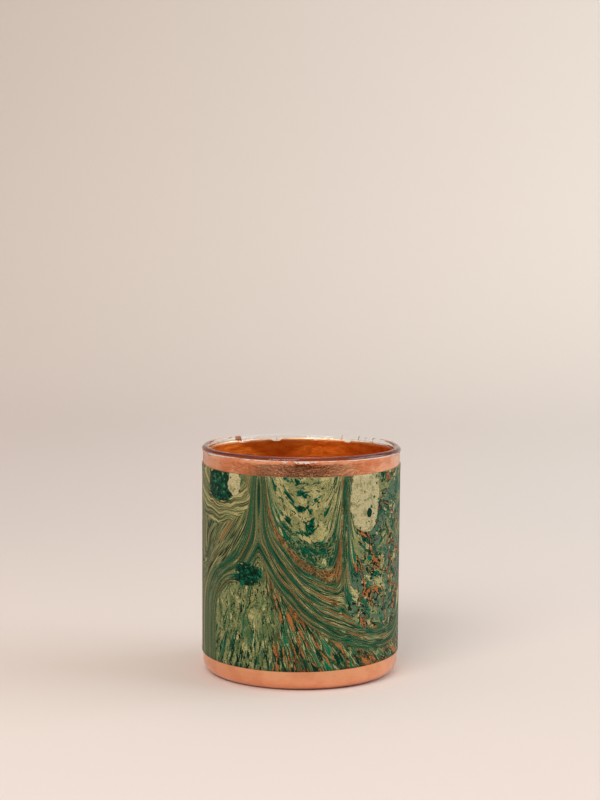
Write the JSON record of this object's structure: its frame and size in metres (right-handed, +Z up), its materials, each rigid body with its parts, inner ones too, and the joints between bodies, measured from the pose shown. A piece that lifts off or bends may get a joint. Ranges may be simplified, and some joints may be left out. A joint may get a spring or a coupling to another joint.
{
  "type": "pen holder cup",
  "caption": "Straight-sided glass tumbler gilded outside with copper leaf and wrapped in a marbled paper band, open at the top to hold pens and pencils.",
  "frame": {"origin": "middle of the underside, on the surface that the cup stands on", "axes": "+Z up along the cup's axis; -Y is the front; the paper's glued seam is at the back, +Y"},
  "size_m": [0.0814, 0.0814, 0.093],
  "materials": {
    "glass": "clear, fire-polished lip",
    "copper_leaf": "satin, finely crinkled leaf under clear lacquer",
    "marbled_paper": "satin, hand-marbled in green, olive, cream and copper"
  },
  "bodies": {
    "root": {"glass_tumbler": "glass", "copper_leaf_base": "copper_leaf", "copper_leaf_front": "copper_leaf", "copper_leaf_back": "copper_leaf", "copper_leaf_flake": "copper_leaf", "marbled_paper_band": "marbled_paper"}
  },
  "joints": []
}
